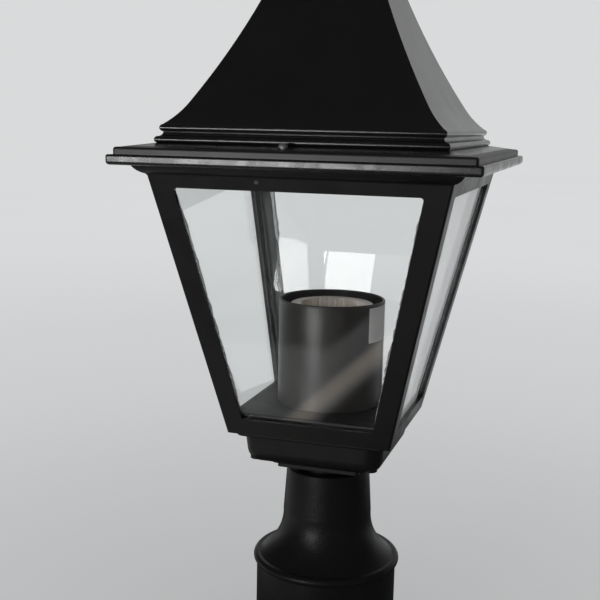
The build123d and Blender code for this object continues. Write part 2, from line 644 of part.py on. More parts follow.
def holder_sticker():
    """Plain pale label wrapped on the outside of the cup."""
    inner_r = CUP_R - 0.15
    outer_r = inner_r + 0.12
    ring = rod(0, 0, STICKER_LOW_Z, STICKER_HIGH_Z, outer_r) - rod(0, 0, 0, REACH, inner_r)
    far = 2 * outer_r

    def ray(angle):
        turn = math.radians(angle)
        return (far * math.sin(turn), -far * math.cos(turn))

    middle = (STICKER_FROM + STICKER_TO) / 2
    wedge = make_face(Polyline((0, 0), ray(STICKER_FROM), ray(middle), ray(STICKER_TO), close=True))
    return ring & extrude(wedge, REACH)


def holder_bracket():
    """Bent steel strap: base on the floor of the cup, two legs, two tabs under the holder."""
    tab_z = HOLDER_BASE_Z - BRACKET_T
    base = block((-LEG_X, LEG_X), (-BRACKET_HALF, BRACKET_HALF), (CUP_FLOOR_Z, BRACKET_Z))
    strap = base
    for side in (1, -1):
        near, far = sorted((side * LEG_X, side * (LEG_X + BRACKET_T)))
        strap += block((near, far), (-BRACKET_HALF, BRACKET_HALF), (CUP_FLOOR_Z, HOLDER_BASE_Z))
        near, far = sorted((side * LEG_X, side * TAB_X))
        strap += block((near, far), (-BRACKET_HALF, BRACKET_HALF), (tab_z, HOLDER_BASE_Z))
        strap -= rod(side * HOLDER_SCREW_X, 0, tab_z - 1, HOLDER_BASE_Z + 1, 1.7)
    return strap - rod(0, 0, CUP_FLOOR_Z - 1, BRACKET_Z + 1, NIPPLE_R + FIT)


def holder_screws():
    """Two screws up through the tabs into the holder."""
    screws = []
    for side in (1, -1):
        upright = pan_head_screw(0, 0, 0, 2.7, 1.9, 1.5, 6.5)
        screws.append(Pos(side * HOLDER_SCREW_X, 0, HOLDER_BASE_Z - BRACKET_T) * Rot(180, 0, 0) * upright)
    return Compound(children=screws)


COLLAR_RIM_H = 11.0        # wide upper part of the ceramic body
HOLDER_LOW_R = 18.6
SOCKET_R = 14.6
SHELL_TOP_Z = 172.4
SHELL_BASE_Z = 151.0
RIB_COUNT = 40
RIB_DEEP = 0.5
POCKET_Y = (9.0, 16.8)
POCKET_HALF = 4.2
POCKET_TOP_Z = 148.6
CLAMP_Z = HOLDER_BASE_Z - 3.0        # underside of the terminals' clamp blocks
CLAMP_SCREW_Y = 13.6
CLAMP_SCREW_R = 1.25


def ribbed_bore():
    """Star-shaped prism that leaves upright ribs in the ceramic mouth."""
    points = []
    for index in range(2 * RIB_COUNT):
        angle = math.pi * index / RIB_COUNT
        radius = SOCKET_R + (RIB_DEEP if index % 2 else 0)
        points.append((radius * math.cos(angle), radius * math.sin(angle)))
    star = make_face(Polyline(*points, close=True))
    return extrude(Plane.XY.offset(SHELL_TOP_Z) * star, HOLDER_TOP_Z - SHELL_TOP_Z + 1)


def holder_body():
    """Glazed ceramic body of the E27 lampholder."""
    rim_z = HOLDER_TOP_Z - COLLAR_RIM_H
    body = turned([
        Polyline(
            (0, HOLDER_BASE_Z),
            (HOLDER_LOW_R, HOLDER_BASE_Z),
            (HOLDER_LOW_R, rim_z),
            (HOLDER_R, rim_z + 1.2),
            (HOLDER_R, HOLDER_TOP_Z - 1.2),
        ),
        ThreePointArc(
            (HOLDER_R, HOLDER_TOP_Z - 1.2),
            (HOLDER_R - 0.35, HOLDER_TOP_Z - 0.35),
            (HOLDER_R - 1.2, HOLDER_TOP_Z),
        ),
        Polyline((HOLDER_R - 1.2, HOLDER_TOP_Z), (0, HOLDER_TOP_Z), (0, HOLDER_BASE_Z)),
    ])
    body -= ribbed_bore()
    body -= rod(0, 0, SHELL_BASE_Z, SHELL_TOP_Z + 1, SOCKET_R)
    for side in (1, -1):
        near, far = sorted((side * POCKET_Y[0], side * POCKET_Y[1]))
        body -= block((-POCKET_HALF, POCKET_HALF), (near, far), (HOLDER_BASE_Z - 1, POCKET_TOP_Z))
        body -= rod(side * HOLDER_SCREW_X, 0, HOLDER_BASE_Z - 1, HOLDER_BASE_Z + 6.5, 1.5 + FIT)
    body -= rod(0, CONTACT_ROOT_Y, POCKET_TOP_Z - 1, SHELL_BASE_Z + 1, 1.2)
    return body - rod(0, -CONTACT_ROOT_Y, POCKET_TOP_Z - 1, SHELL_BASE_Z + 1, 1.2)


SHELL_EDGE_R = 11.4        # opening in the shell's turned-in base
THREAD_PITCH = 3.63        # E27
THREAD_TURNS = 5
SHELL_R = 13.9
SHELL_WAVE = 0.55
SHELL_T = 0.4


def screw_shell():
    """Brass shell with the rounded E27 thread, its base turned in round the contact."""
    def side(radius):
        edges = []
        for index in range(2 * THREAD_TURNS):
            low_z = SHELL_BASE_Z + 1.6 + index * THREAD_PITCH / 2
            high_z = low_z + THREAD_PITCH / 2
            bulge = radius + (SHELL_WAVE if index % 2 else -SHELL_WAVE)
            edges.append(ThreePointArc((radius, low_z), (bulge, (low_z + high_z) / 2), (radius, high_z)))
        return edges

    low_z = SHELL_BASE_Z + 1.6
    top_z = low_z + THREAD_TURNS * THREAD_PITCH
    inner_r = SHELL_R - SHELL_T
    outer = [
        Polyline((SHELL_EDGE_R, SHELL_BASE_Z), (SHELL_R - 0.6, SHELL_BASE_Z), (SHELL_R, low_z)),
        *side(SHELL_R),
    ]
    inner = [
        *side(inner_r),
        Polyline(
            (inner_r, low_z),
            (inner_r - 0.6, SHELL_BASE_Z + SHELL_T),
            (SHELL_EDGE_R, SHELL_BASE_Z + SHELL_T),
            (SHELL_EDGE_R, SHELL_BASE_Z),
        ),
    ]
    return turned([*outer, Line((SHELL_R, top_z), (inner_r, top_z)), *inner])


CONTACT_ROOT_Y = 9.6
CONTACT_HALF = 2.6
CONTACT_T = 0.5


def centre_contact():
    """Springy brass tongue: it rises from its root to the middle of the socket."""
    root = (CONTACT_ROOT_Y - 2.4, SHELL_BASE_Z + 0.9)
    outline = [
        root,
        (1.6, SHELL_BASE_Z + 3.4),
        (-2.2, SHELL_BASE_Z + 3.4),
        (-3.6, SHELL_BASE_Z + 2.6),
    ]
    under = [(y, z - CONTACT_T) for y, z in reversed(outline)]
    strip = make_face(Polyline(*outline, *under, close=True))
    return extrude(Plane.YZ * strip, CONTACT_HALF, both=True)


def terminal_brass(side, lead_x):
    """Clamp block in its pocket under the ceramic, with the rivet that leads up inside."""
    near, far = sorted((side * (POCKET_Y[0] + 0.4), side * (POCKET_Y[1] - 0.4)))
    clamp = block((-3.7, 3.7), (near, far), (CLAMP_Z, POCKET_TOP_Z))
    clamp -= Pos(lead_x, side * POCKET_Y[0], LEAD_OVER_Z) * Rot(90, 0, 0) * Cylinder(LEAD_R + FIT, 6)
    clamp -= rod(0, side * CLAMP_SCREW_Y, CLAMP_Z - 1, CLAMP_Z + 5.0, CLAMP_SCREW_R + FIT)
    rivet = rod(0, side * CONTACT_ROOT_Y, POCKET_TOP_Z, SHELL_BASE_Z, 1.15)
    return clamp + rivet


def centre_terminal():
    """Brass of the live pole, with the foot that the springy tongue grows from."""
    along_y = (CONTACT_ROOT_Y - 2.1, CONTACT_ROOT_Y + 0.8)
    foot = block((-CONTACT_HALF, CONTACT_HALF), along_y, (SHELL_BASE_Z, SHELL_BASE_Z + CONTACT_T))
    return terminal_brass(1, tube_place(LIVE_ANGLE)[0]) + foot


def shell_terminal():
    """Brass of the neutral pole, whose foot reaches under the turned-in base of the shell."""
    foot = block((-2.6, 2.6), (-SHELL_EDGE_R, -CONTACT_ROOT_Y + 1.4), (SHELL_BASE_Z, SHELL_BASE_Z + 0.4))
    ring = rod(0, 0, SHELL_BASE_Z - 1, SHELL_BASE_Z + 2, SHELL_EDGE_R)
    return terminal_brass(-1, tube_place(NEUTRAL_ANGLE)[0]) + (foot & ring)


def terminal_screws():
    """Clamping screws of the two terminals, heads down."""
    screws = []
    for side in (1, -1):
        upright = pan_head_screw(0, 0, 0, 2.1, 1.4, CLAMP_SCREW_R, 4.6)
        screws.append(Pos(0, side * CLAMP_SCREW_Y, CLAMP_Z) * Rot(180, 0, 0) * upright)
    return Compound(children=screws)


def earth_tag():
    """Ring tag of the earth lead, flat on the floor of the cup, its barrel towards the axis."""
    barrel_at = 5.9
    tongue = block((0, 4.6), (-1.4, 1.4), (0, 0.8))
    barrel = Pos(barrel_at, 0, EARTH_LEAD_UP) * Rot(0, 90, 0) * Cylinder(LEAD_R + 0.45, 3.4)
    flat = rod(0, 0, 0, 0.8, 3.6) + tongue + (barrel & block((0, 20), (-5, 5), (0, 20)))
    flat -= Pos(barrel_at, 0, EARTH_LEAD_UP) * Rot(0, 90, 0) * Cylinder(LEAD_R + 0.02, 3.5)
    flat -= rod(0, 0, -1, 6, EARTH_SCREW_R + 0.1)
    return Pos(*EARTH_AT, CUP_FLOOR_Z) * Rot(0, 0, 135) * flat


def earth_screw():
    return pan_head_screw(*EARTH_AT, CUP_FLOOR_Z + 0.8, 3.4, 2.2, EARTH_SCREW_R, 7.0)


# ---------------------------------------------------------------- threaded tube and wiring
WASHER_T = 1.0
STRAP_T = 1.3
STRAP_Y = 13.4
BLOCK_Z = (58.0, 71.0)
BLOCK_Y = (-0.6, STRAP_Y - STRAP_T)
BLOCK_HALF = 11.4
POLE_PITCH = 7.4
POLE_Y = 5.6


def nipple_tube():
    tube = rod(0, 0, NIPPLE_LOW_Z, NIPPLE_TOP_Z, NIPPLE_R)
    tube = chamfer(tube.edges(), 0.4)
    return tube - rod(0, 0, NIPPLE_LOW_Z - 1, NIPPLE_TOP_Z + 1, NIPPLE_BORE_R)


STRAP_Z = NECK_WEB_Z - STRAP_T


def nipple_nuts():
    """Lock nuts on the bracket and under the neck's web."""
    nuts = []
    for low_z in (BRACKET_Z, STRAP_Z - WASHER_T - NUT_H):
        nut = hexagon(low_z, low_z + NUT_H, NUT_FLATS)
        corner_r = NUT_FLATS / 2 + 0.7
        rounded = chamfer(rod(0, 0, low_z, low_z + NUT_H, corner_r).edges(), 0.5)
        nut = (nut & rounded) - rod(0, 0, low_z - 1, low_z + NUT_H + 1, NIPPLE_R + 0.02)
        nuts.append(nut)
    return Compound(children=nuts)


def nipple_washer():
    ring = rod(0, 0, STRAP_Z - WASHER_T, STRAP_Z, 9.4)
    return ring - rod(0, 0, STRAP_Z - 3, STRAP_Z + 1, NIPPLE_R + 0.1)


def nipple_bushes():
    """Soft bushes that keep the leads off the ends of the tube."""
    bushes = []
    for end_z, out in ((NIPPLE_TOP_Z, 1), (NIPPLE_LOW_Z, -1)):
        rim = sorted((end_z, end_z + out * 0.7))
        plug = sorted((end_z - out * 3.0, end_z + out * 0.7))
        bush = rod(0, 0, *rim, NIPPLE_R) + rod(0, 0, *plug, NIPPLE_BORE_R)
        bushes.append(bush - rod(0, 0, plug[0] - 1, plug[1] + 1, 3.2))
    return Compound(children=bushes)


def terminal_strap():
    """Angle clamped by the lower nut; its leg carries the connector block."""
    top = block((-6, 6), (-8, STRAP_Y), (STRAP_Z, NECK_WEB_Z))
    leg = block((-6, 6), (STRAP_Y - STRAP_T, STRAP_Y), (BLOCK_Z[0], NECK_WEB_Z))
    strap = top + leg - rod(0, 0, STRAP_Z - 1, NECK_WEB_Z + 1, NIPPLE_R + 0.1)
    fixing = Pos(POLE_PITCH / 2, STRAP_Y, sum(BLOCK_Z) / 2) * Rot(90, 0, 0) * Cylinder(1.3, 6)
    return strap - fixing


def terminal_block():
    """Three-pole connector with raised towers, screwed to the strap."""
    body = block((-BLOCK_HALF, BLOCK_HALF), BLOCK_Y, BLOCK_Z)
    body = chamfer(body.edges().filter_by(Axis.Z), 0.6)
    for pole in (-1, 0, 1):
        body -= rod(pole * POLE_PITCH, POLE_Y, BLOCK_Z[0] - 1, BLOCK_Z[1] + 1, 1.35)
        for z in (BLOCK_Z[0] + 3.4, BLOCK_Z[1] - 3.4):
            body -= Pos(pole * POLE_PITCH, BLOCK_Y[0], z) * Rot(90, 0, 0) * Cylinder(1.5, 9)
    for side in (-1, 1):
        notch_x = side * POLE_PITCH / 2
        body -= Pos(notch_x, 4, sum(BLOCK_Z) / 2) * Rot(90, 0, 0) * Cylinder(1.35, 30)
    return body


def terminal_block_screws():
    """Six clamping screws in the connector's towers, and the screw that fixes it."""
    screws = []
    for pole in (-1, 0, 1):
        for z in (BLOCK_Z[0] + 3.4, BLOCK_Z[1] - 3.4):
            grub = Pos(pole * POLE_PITCH, BLOCK_Y[0] + 2.6, z) * Rot(90, 0, 0) * Cylinder(1.4, 3.2)
            slot = block(
                (pole * POLE_PITCH - 2, pole * POLE_PITCH + 2),
                (BLOCK_Y[0], BLOCK_Y[0] + 1.8),
                (z - 0.25, z + 0.25),
            )
            screws.append(grub - slot)
    fixing = pan_head_screw(0, 0, 0, 2.4, 1.6, 1.2, 14.0)
    place = Pos(POLE_PITCH / 2, BLOCK_Y[0], sum(BLOCK_Z) / 2) * Rot(90, 0, 0)
    screws.append(place * fixing)
    return Compound(children=screws)


SPREAD_Z = (84.0, 75.0)              # where the leads part towards the poles


def pole_end(pole):
    """Last two points of a lead, down into its pole of the connector."""
    x = pole * POLE_PITCH
    return [(x, POLE_Y, SPREAD_Z[1]), (x, POLE_Y, BLOCK_Z[1] - 5)]


def holder_lead(side, angle, pole):
    """Lead from a lampholder terminal down the tube to its pole of the connector."""
    x, y = tube_place(angle)
    points = [
        (x, side * (POCKET_Y[0] + 2.4), LEAD_OVER_Z),
        (x, y, LEAD_OVER_Z),
        (x, y, SPREAD_Z[0]),
        *pole_end(pole),
    ]
    return lead(points, [BEND_R, 6.0, 2.6])


def earth_lead():
    """Lead from the tag on the cup's floor, over the bracket and down the tube."""
    x, y = tube_place(EARTH_ANGLE)
    low_z = CUP_FLOOR_Z + EARTH_LEAD_UP
    points = [
        (EARTH_AT[0] - 3.6, EARTH_AT[1] + 3.6, low_z),
        (EARTH_AT[0] - 6.4, EARTH_AT[1] + 6.4, low_z),
        (EARTH_AT[0] - 7.6, EARTH_AT[1] + 7.6, LEAD_OVER_Z),
        (x, y, LEAD_OVER_Z),
        (x, y, SPREAD_Z[0]),
        *pole_end(0),
    ]
    return lead(points, [1.8, 2.0, BEND_R, 6.0, 2.6])


def main():
    write("post_collar", post_collar())
    write("neck", neck())
    for index, angle in enumerate(GRUB_ANGLES, start=1):
        write(f"grub_screw_{index}", grub_screw(angle))
    write("foot_plate", foot_plate())
    write("base_tray", base_tray())
    write("lantern_frame", lantern_frame())
    write("frame_screws", frame_screws())
    for turn, side in enumerate(("front", "right", "back", "left")):
        write(f"glass_{side}", Rot(0, 0, 90 * turn) * glass_pane())
    write("silicone_beads", silicone_beads())
    write("floor_plate", floor_plate())

    write("roof_canopy", roof_canopy())
    write("roof_screw_front", roof_screw(-ROOF_SCREW_X, -ROOF_SCREW_Y))
    write("roof_screw_back", roof_screw(ROOF_SCREW_X, ROOF_SCREW_Y))
    write("roof_gasket", roof_gasket())
    write("roof_cap", roof_cap())
    write("finial", finial())
    write("finial_stud", finial_stud())
    write("finial_nut", finial_nut())

    write("holder_cup", holder_cup())
    write("holder_sticker", holder_sticker())
    write("holder_bracket", holder_bracket())
    write("holder_screws", holder_screws())
    write("holder_body", holder_body())
    write("screw_shell", screw_shell())
    write("centre_contact", centre_contact())
    write("centre_terminal", centre_terminal())
    write("shell_terminal", shell_terminal())
    write("terminal_screws", terminal_screws())
    write("earth_tag", earth_tag())
    write("earth_screw", earth_screw())

    write("nipple_tube", nipple_tube())
    write("nipple_nuts", nipple_nuts())
    write("nipple_washer", nipple_washer())
    write("nipple_bushes", nipple_bushes())
    write("terminal_strap", terminal_strap())
    write("terminal_block", terminal_block())
    write("terminal_block_screws", terminal_block_screws())
    write("lead_live", holder_lead(1, LIVE_ANGLE, 1))
    write("lead_neutral", holder_lead(-1, NEUTRAL_ANGLE, -1))
    write("lead_earth", earth_lead())


main()
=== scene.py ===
import math

import bmesh
import bpy
from mathutils import Matrix, Vector, noise


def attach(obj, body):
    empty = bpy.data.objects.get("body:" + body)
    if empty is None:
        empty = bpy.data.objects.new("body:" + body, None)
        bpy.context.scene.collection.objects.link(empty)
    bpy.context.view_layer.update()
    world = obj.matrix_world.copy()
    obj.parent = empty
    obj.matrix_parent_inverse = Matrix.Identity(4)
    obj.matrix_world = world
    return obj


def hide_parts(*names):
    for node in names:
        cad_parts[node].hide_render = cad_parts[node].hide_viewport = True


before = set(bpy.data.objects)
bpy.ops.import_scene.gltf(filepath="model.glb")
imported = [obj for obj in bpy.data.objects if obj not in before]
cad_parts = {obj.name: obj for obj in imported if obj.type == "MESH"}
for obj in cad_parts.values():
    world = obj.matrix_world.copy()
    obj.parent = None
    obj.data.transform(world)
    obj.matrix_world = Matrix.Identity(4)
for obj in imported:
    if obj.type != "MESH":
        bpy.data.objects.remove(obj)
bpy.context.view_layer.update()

# ------------------------------------------------------------------ the viewpoint
# The lantern is seen from the front and a little from the right, from just above
# the brim and slightly downwards, so the roof's top and the collar's foot run off
# the picture.
EYE = Vector((0.1242, -0.4526, 0.2632))
TURN, DIP, TILT = math.radians(17.224), math.radians(9.984), math.radians(1.166)
LENS_MM, SENSOR_MM = 60.49, 36.0
NEAREST_M = 0.01

camera = bpy.data.objects.new("camera", bpy.data.cameras.new("camera"))
camera.data.lens = LENS_MM
camera.data.sensor_width = SENSOR_MM
camera.data.clip_start = NEAREST_M
camera.matrix_world = (
    Matrix.Translation(EYE)
    @ Matrix.Rotation(TURN, 4, "Z")
    @ Matrix.Rotation(math.radians(90) - DIP, 4, "X")
    @ Matrix.Rotation(TILT, 4, "Z")
)
bpy.context.collection.objects.link(camera)
bpy.context.scene.camera = camera
bpy.context.scene.view_settings.view_transform = "Standard"


# ------------------------------------------------------------------ floor, backdrop and light
# A pale table top runs out into a pale, evenly lit room. Metal and glass mirror that
# room: light behind and beside the lantern, dim in front of it but for the windows.
class Value:
    """One value on its way through the nodes of a material: each sum adds a Math node."""

    def __init__(self, socket):
        self.socket = socket
        self.tree = socket.id_data

    def node(self, kind, settings=None, inputs=None, output=0):
        """Adds a node with its settings and inputs, and gives one of its outputs."""
        made = self.tree.nodes.new(kind)
        for name, setting in (settings or {}).items():
            setattr(made, name, setting)
        for name, given in (inputs or {}).items():
            if isinstance(given, Value):
                self.tree.links.new(given.socket, made.inputs[name])
            else:
                made.inputs[name].default_value = given
        return Value(made.outputs[output]) if made.outputs else None

    def sum(self, operation, *others):
        """Math node of this value and the others."""
        given = {0: self}
        for place, other in enumerate(others, start=1):
            given[place] = other
        return self.node("ShaderNodeMath", {"operation": operation}, given)

    def __add__(self, other):
        return self.sum("ADD", other)

    def __sub__(self, other):
        return self.sum("SUBTRACT", other)

    def __mul__(self, other):
        return self.sum("MULTIPLY", other)

    __radd__ = __add__
    __rmul__ = __mul__

    def __rsub__(self, other):
        return (self * -1.0) + other

    def clamped(self):
        """The value kept between 0 and 1."""
        return self.node("ShaderNodeClamp", None, {"Value": self})

    def span(self, low, high, to_low=0.0, to_high=1.0):
        """Moves smoothly from to_low to to_high while the value goes from low to high."""
        settings = {"interpolation_type": "SMOOTHSTEP"}
        ends = {"Value": self, "From Min": low, "From Max": high, "To Min": to_low, "To Max": to_high}
        return self.node("ShaderNodeMapRange", settings, ends)

    def axis(self, name):
        """X, Y or Z of a place."""
        return self.node("ShaderNodeSeparateXYZ", None, {0: self}, name)

    def dot(self, direction):
        """How far a place lies along a direction."""
        inputs = {0: self, 1: direction}
        return self.node("ShaderNodeVectorMath", {"operation": "DOT_PRODUCT"}, inputs, "Value")

    def grain(self, scale, detail=2.0, roughness=0.5, distortion=0.0):
        """Cloudy noise from 0 to 1, scale bumps to the metre."""
        inputs = {"Vector": self, "Scale": scale, "Detail": detail, "Roughness": roughness}
        return self.node("ShaderNodeTexNoise", None, {**inputs, "Distortion": distortion})

    def blend(self, first, second):
        """Colour mix: first where the value is 0, second where it is 1."""
        inputs = {0: self, 6: first, 7: second}
        return self.node("ShaderNodeMix", {"data_type": "RGBA"}, inputs, 2)


def grey(level, warmth=0.0):
    """A near neutral colour, warmer for a positive warmth."""
    return (level * (1 + warmth), level, level * (1 - warmth), 1.0)


def new_material(name):
    """An empty material and the place on the piece, in metres, that its pattern starts from."""
    material = bpy.data.materials.new(name)
    material.use_nodes = True
    material.node_tree.nodes.clear()
    coordinates = material.node_tree.nodes.new("ShaderNodeTexCoord")
    return material, Value(coordinates.outputs["Object"])


def finish_material(place, shader):
    """Joins the shader to the surface."""
    place.node("ShaderNodeOutputMaterial", None, {"Surface": shader})


PALE_ROOM = 0.70            # what the camera and the glass see behind the lantern
SIDE_ROOM = 0.48            # what metal and glass mirror from behind and beside it
DIM_ROOM = 0.04             # what they mirror from in front of it
ROOM_LIGHT = 0.72           # what lights the lantern from all round
BEHIND, BESIDE = 0.90, 0.56     # ways that point back this far mirror the pale and the dim part


def ray_kind(place, name):
    """1 for the rays of one kind, 0 for the others."""
    return place.node("ShaderNodeLightPath", None, None, name)


def room():
    """Plain surroundings that look and mirror as the levels above say."""
    world = bpy.data.worlds.new("room")
    bpy.context.scene.world = world
    world.use_nodes = True
    world.node_tree.nodes.clear()
    way = Value(world.node_tree.nodes.new("ShaderNodeTexCoord").outputs["Generated"])
    mirrored = ray_kind(way, "Is Glossy Ray")
    seen = (ray_kind(way, "Is Camera Ray") + ray_kind(way, "Is Transmission Ray")).clamped()
    in_front = way.axis("Y").span(BEHIND, BESIDE)
    mirror_level = SIDE_ROOM + in_front * (DIM_ROOM - SIDE_ROOM)
    level = seen * PALE_ROOM + (1 - seen) * (mirrored * mirror_level + (1 - mirrored) * ROOM_LIGHT)
    background = way.node("ShaderNodeBackground", None, {"Color": grey(1.0, -0.008), "Strength": level})
    way.node("ShaderNodeOutputWorld", None, {"Surface": background})


room()

TABLE_R, TABLE_SIDES = 6.0, 96
TABLE_GREY = 0.62
# Painted shade in the glow: dimmer near the lantern, lighter far out, with faint painted clouds of light and
# shade.
GLOW_NEAR, GLOW_MIDDLE, GLOW_MORE = 0.53, 0.61, 0.09    # how light it looks on its way out
GLOW_CLOUD, CLOUDS_PER_M = 0.03, 1.1
SHADOW_R, SHADOW_END_R = 0.05, 0.7                      # the lantern's shadow fades between these
PAINTED_STRIPE_TINT = (1.0, 0.90, 0.80, 1.0)
# Painted light on the table in front, seen only by mirrored rays, which the front pane mirrors: a pool close
# to the lantern, ending in a bright stripe, and a far pool up to a painted shade of the corner.
STRIPE_ACROSS = (0.899, 0.437, 0.0)
CORNER_ACROSS = (0.755, 0.656, 0.0)
PAINTED_STRIPE_LEVEL, PAINTED_POOL_LEVEL, PAINTED_FAR_LEVEL = 0.85, 0.34, 0.17
# Each pair is where an edge of that light begins and where it is complete, in metres.
STRIPE_OUT, STRIPE_IN = (-0.145, -0.136), (-0.118, -0.133)
POOL_OUT, POOL_SIDE, POOL_IN = (-0.260, -0.244), (-0.171, -0.159), (-0.116, -0.134)
FAR_IN, FAR_SIDE = (-0.31, -0.36), (-0.473, -0.461)
# Painted reflection: between these distances in front, mirrored rays see the table darkened to the dim room,
# with the painted stripe and pools on it.
PAINTED_REFLECTION_EDGE = (0.42, 0.22)
# Painted reflection of a lit wall behind: mirrored rays see the table this much lighter.
PAINTED_WALL_REFLECTION = 0.03        # the lit wall behind adds this to what is mirrored there


def table_top():
    """Round table top, lit near the lantern and glowing farther out; the glow holds painted shade, dimmer
    near the lantern, and painted light that only mirrored rays see.
    """
    mesh = bpy.data.meshes.new("table_top")
    shape = bmesh.new()
    bmesh.ops.create_circle(shape, cap_ends=True, segments=TABLE_SIDES, radius=TABLE_R)
    shape.to_mesh(mesh)
    shape.free()
    table = bpy.data.objects.new("table_top", mesh)
    bpy.context.collection.objects.link(table)

    material, place = new_material("table_top")
    out = place.node("ShaderNodeVectorMath", {"operation": "LENGTH"}, {0: place}, "Value")
    cloud = place.grain(CLOUDS_PER_M, 1.0) - 0.5
    lit = place.node("ShaderNodeBsdfDiffuse", None, {"Color": grey(TABLE_GREY)})
    mirrored = ray_kind(place, "Is Glossy Ray")
    seen = (ray_kind(place, "Is Camera Ray") + ray_kind(place, "Is Transmission Ray") + mirrored).clamped()
    # painted shade: the glow rises with distance from the lantern, and the clouds are faint painted light and
    # shade
    level = out.span(0.08, 0.50, GLOW_NEAR, GLOW_MIDDLE) + out.span(0.35, 1.8, 0.0, GLOW_MORE)
    level = level + cloud * GLOW_CLOUD
    # painted light: the stripe, pool and far pool, seen only in reflections
    across = place.dot(STRIPE_ACROSS)
    out_y = place.axis("Y")
    stripe = across.span(*STRIPE_OUT) * across.span(*STRIPE_IN)
    painted_pool = out_y.span(*POOL_OUT).sum("MAXIMUM", across.span(*POOL_SIDE))
    painted_pool = painted_pool * across.span(*POOL_IN)
    painted_far_pool = out_y.span(*FAR_IN) * place.dot(CORNER_ACROSS).span(*FAR_SIDE)
    painted_reflection_level = DIM_ROOM + stripe * PAINTED_STRIPE_LEVEL + painted_pool * PAINTED_POOL_LEVEL + painted_far_pool * PAINTED_FAR_LEVEL
    painted_reflection_share = mirrored * out_y.span(*PAINTED_REFLECTION_EDGE)
    level = level + mirrored * PAINTED_WALL_REFLECTION
    tint = (stripe * painted_reflection_share).blend(grey(1.0, -0.012), PAINTED_STRIPE_TINT)
    strength = level + painted_reflection_share * (painted_reflection_level - level)
    glow = place.node("ShaderNodeEmission", None, {"Color": tint, "Strength": strength})
    far = out.span(SHADOW_R, SHADOW_END_R, 0.55, 1.0) + painted_reflection_share
    mixed = place.node("ShaderNodeMixShader", None, {0: (far * seen).clamped(), 1: lit, 2: glow})
    finish_material(place, mixed)
    mesh.materials.append(material)


table_top()


AIM_Z = 0.22                # the lamps face this height on the lantern's axis


def light_card(name, azimuth, height, distance, width, tall, brightness, seen_in_gloss=True):
    """A rectangular lamp facing the lantern; azimuth is from the front towards the right."""
    turn, rise = math.radians(azimuth), math.radians(height)
    aim = Vector((0, 0, AIM_Z))
    way = Vector((math.sin(turn) * math.cos(rise), -math.cos(turn) * math.cos(rise), math.sin(rise)))
    lamp = bpy.data.lights.new(name, "AREA")
    lamp.shape = "RECTANGLE"
    lamp.size = width
    lamp.size_y = tall
    lamp.energy = brightness * math.pi * width * tall
    holder = bpy.data.objects.new(name, lamp)
    holder.location = aim + way * distance
    holder.rotation_euler = (-way).to_track_quat("-Z", "Y").to_euler()
    holder.visible_camera = False
    holder.visible_glossy = seen_in_gloss
    bpy.context.collection.objects.link(holder)


# A wide low window, the two halves of a far one, and a faint glow from the ceiling.
light_card("level_window", -22, -3, 1.7, 0.68, 0.17, 24.0)
light_card("far_window_left", -18.75, 16.1, 3.0, 0.17, 0.19, 26.0)
light_card("far_window_right", -15.25, 17.0, 3.0, 0.165, 0.25, 5.0)
light_card("ceiling", 60, 75, 1.6, 1.2, 1.2, 0.5, seen_in_gloss=False)


# ------------------------------------------------------------------ painted castings
# The collar, its square plate, the base bowl, the cage, the roof, its cap and the
# finial are cast aluminium, powder coated black: satin to glossy, with a fine orange
# peel and tiny pits, duller on the brim's upper step and blotchy below it.
PAINT_BLACK = 0.0042
MOTTLES_PER_M, PEEL_PER_M, FLECKS_PER_M, DUST_PER_M = 46.0, 1500.0, 5200.0, 190.0
STEP_LOW_Z, STEP_HIGH_Z = 0.2487, 0.2521       # the upper step of the brim is duller
STEP_DULLER, BLOTCH_DULLER = 0.22, 0.09        # and the parts below it are blotchy
BLOTCHES_PER_M = 75.0
SOFT_EDGE = 0.0004           # height over which the dull step sets in


def black_paint(name, gloss, peel, shine):
    """Powder coat: gloss is its roughness, peel its orange peel, shine how much it mirrors."""
    material, place = new_material(name)
    mottle = place.grain(MOTTLES_PER_M, 4.0, 0.6)
    peel_height = place.grain(PEEL_PER_M, 2.0, 0.5)
    fleck = place.grain(FLECKS_PER_M, 1.0).span(0.60, 0.74)
    dust = place.grain(DUST_PER_M, 6.0, 0.7).span(0.58, 0.86)
    colour = mottle.blend(grey(PAINT_BLACK * 0.8), grey(PAINT_BLACK * 1.25, 0.02))
    colour = (fleck * 0.20 + dust * 0.06).blend(colour, grey(0.055, 0.03))
    roughness = gloss + (mottle - 0.5) * 0.10 + dust * 0.10
    height = place.axis("Z")
    step = height.span(STEP_LOW_Z, STEP_LOW_Z + SOFT_EDGE) * height.span(STEP_HIGH_Z + SOFT_EDGE, STEP_HIGH_Z)
    below_step = height.span(STEP_LOW_Z, STEP_LOW_Z - 2 * SOFT_EDGE)
    blotch = place.grain(BLOTCHES_PER_M, 3.0, 0.6, 0.6).span(0.35, 0.65) * below_step
    roughness = roughness + step * STEP_DULLER + blotch * BLOTCH_DULLER
    relief = peel_height + fleck * 0.6
    bumps = place.node("ShaderNodeBump", None, {"Strength": peel, "Distance": 0.0004, "Height": relief})
    shader = place.node(
        "ShaderNodeBsdfPrincipled",
        None,
        {
            "Base Color": colour,
            "Roughness": roughness,
            "IOR": 1.5,
            "Specular IOR Level": shine,
            "Normal": bumps,
        },
    )
    finish_material(place, shader)
    return material


def cover(node, material):
    """Gives a piece of the frame its finish."""
    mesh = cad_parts[node].data
    mesh.materials.clear()
    mesh.materials.append(material)


CHIP_AT, CHIP_R = (-0.0159, -0.0645, 0.2388), 0.0011          # on the front top rail of the cage
PRIMER = grey(0.16, 0.12)


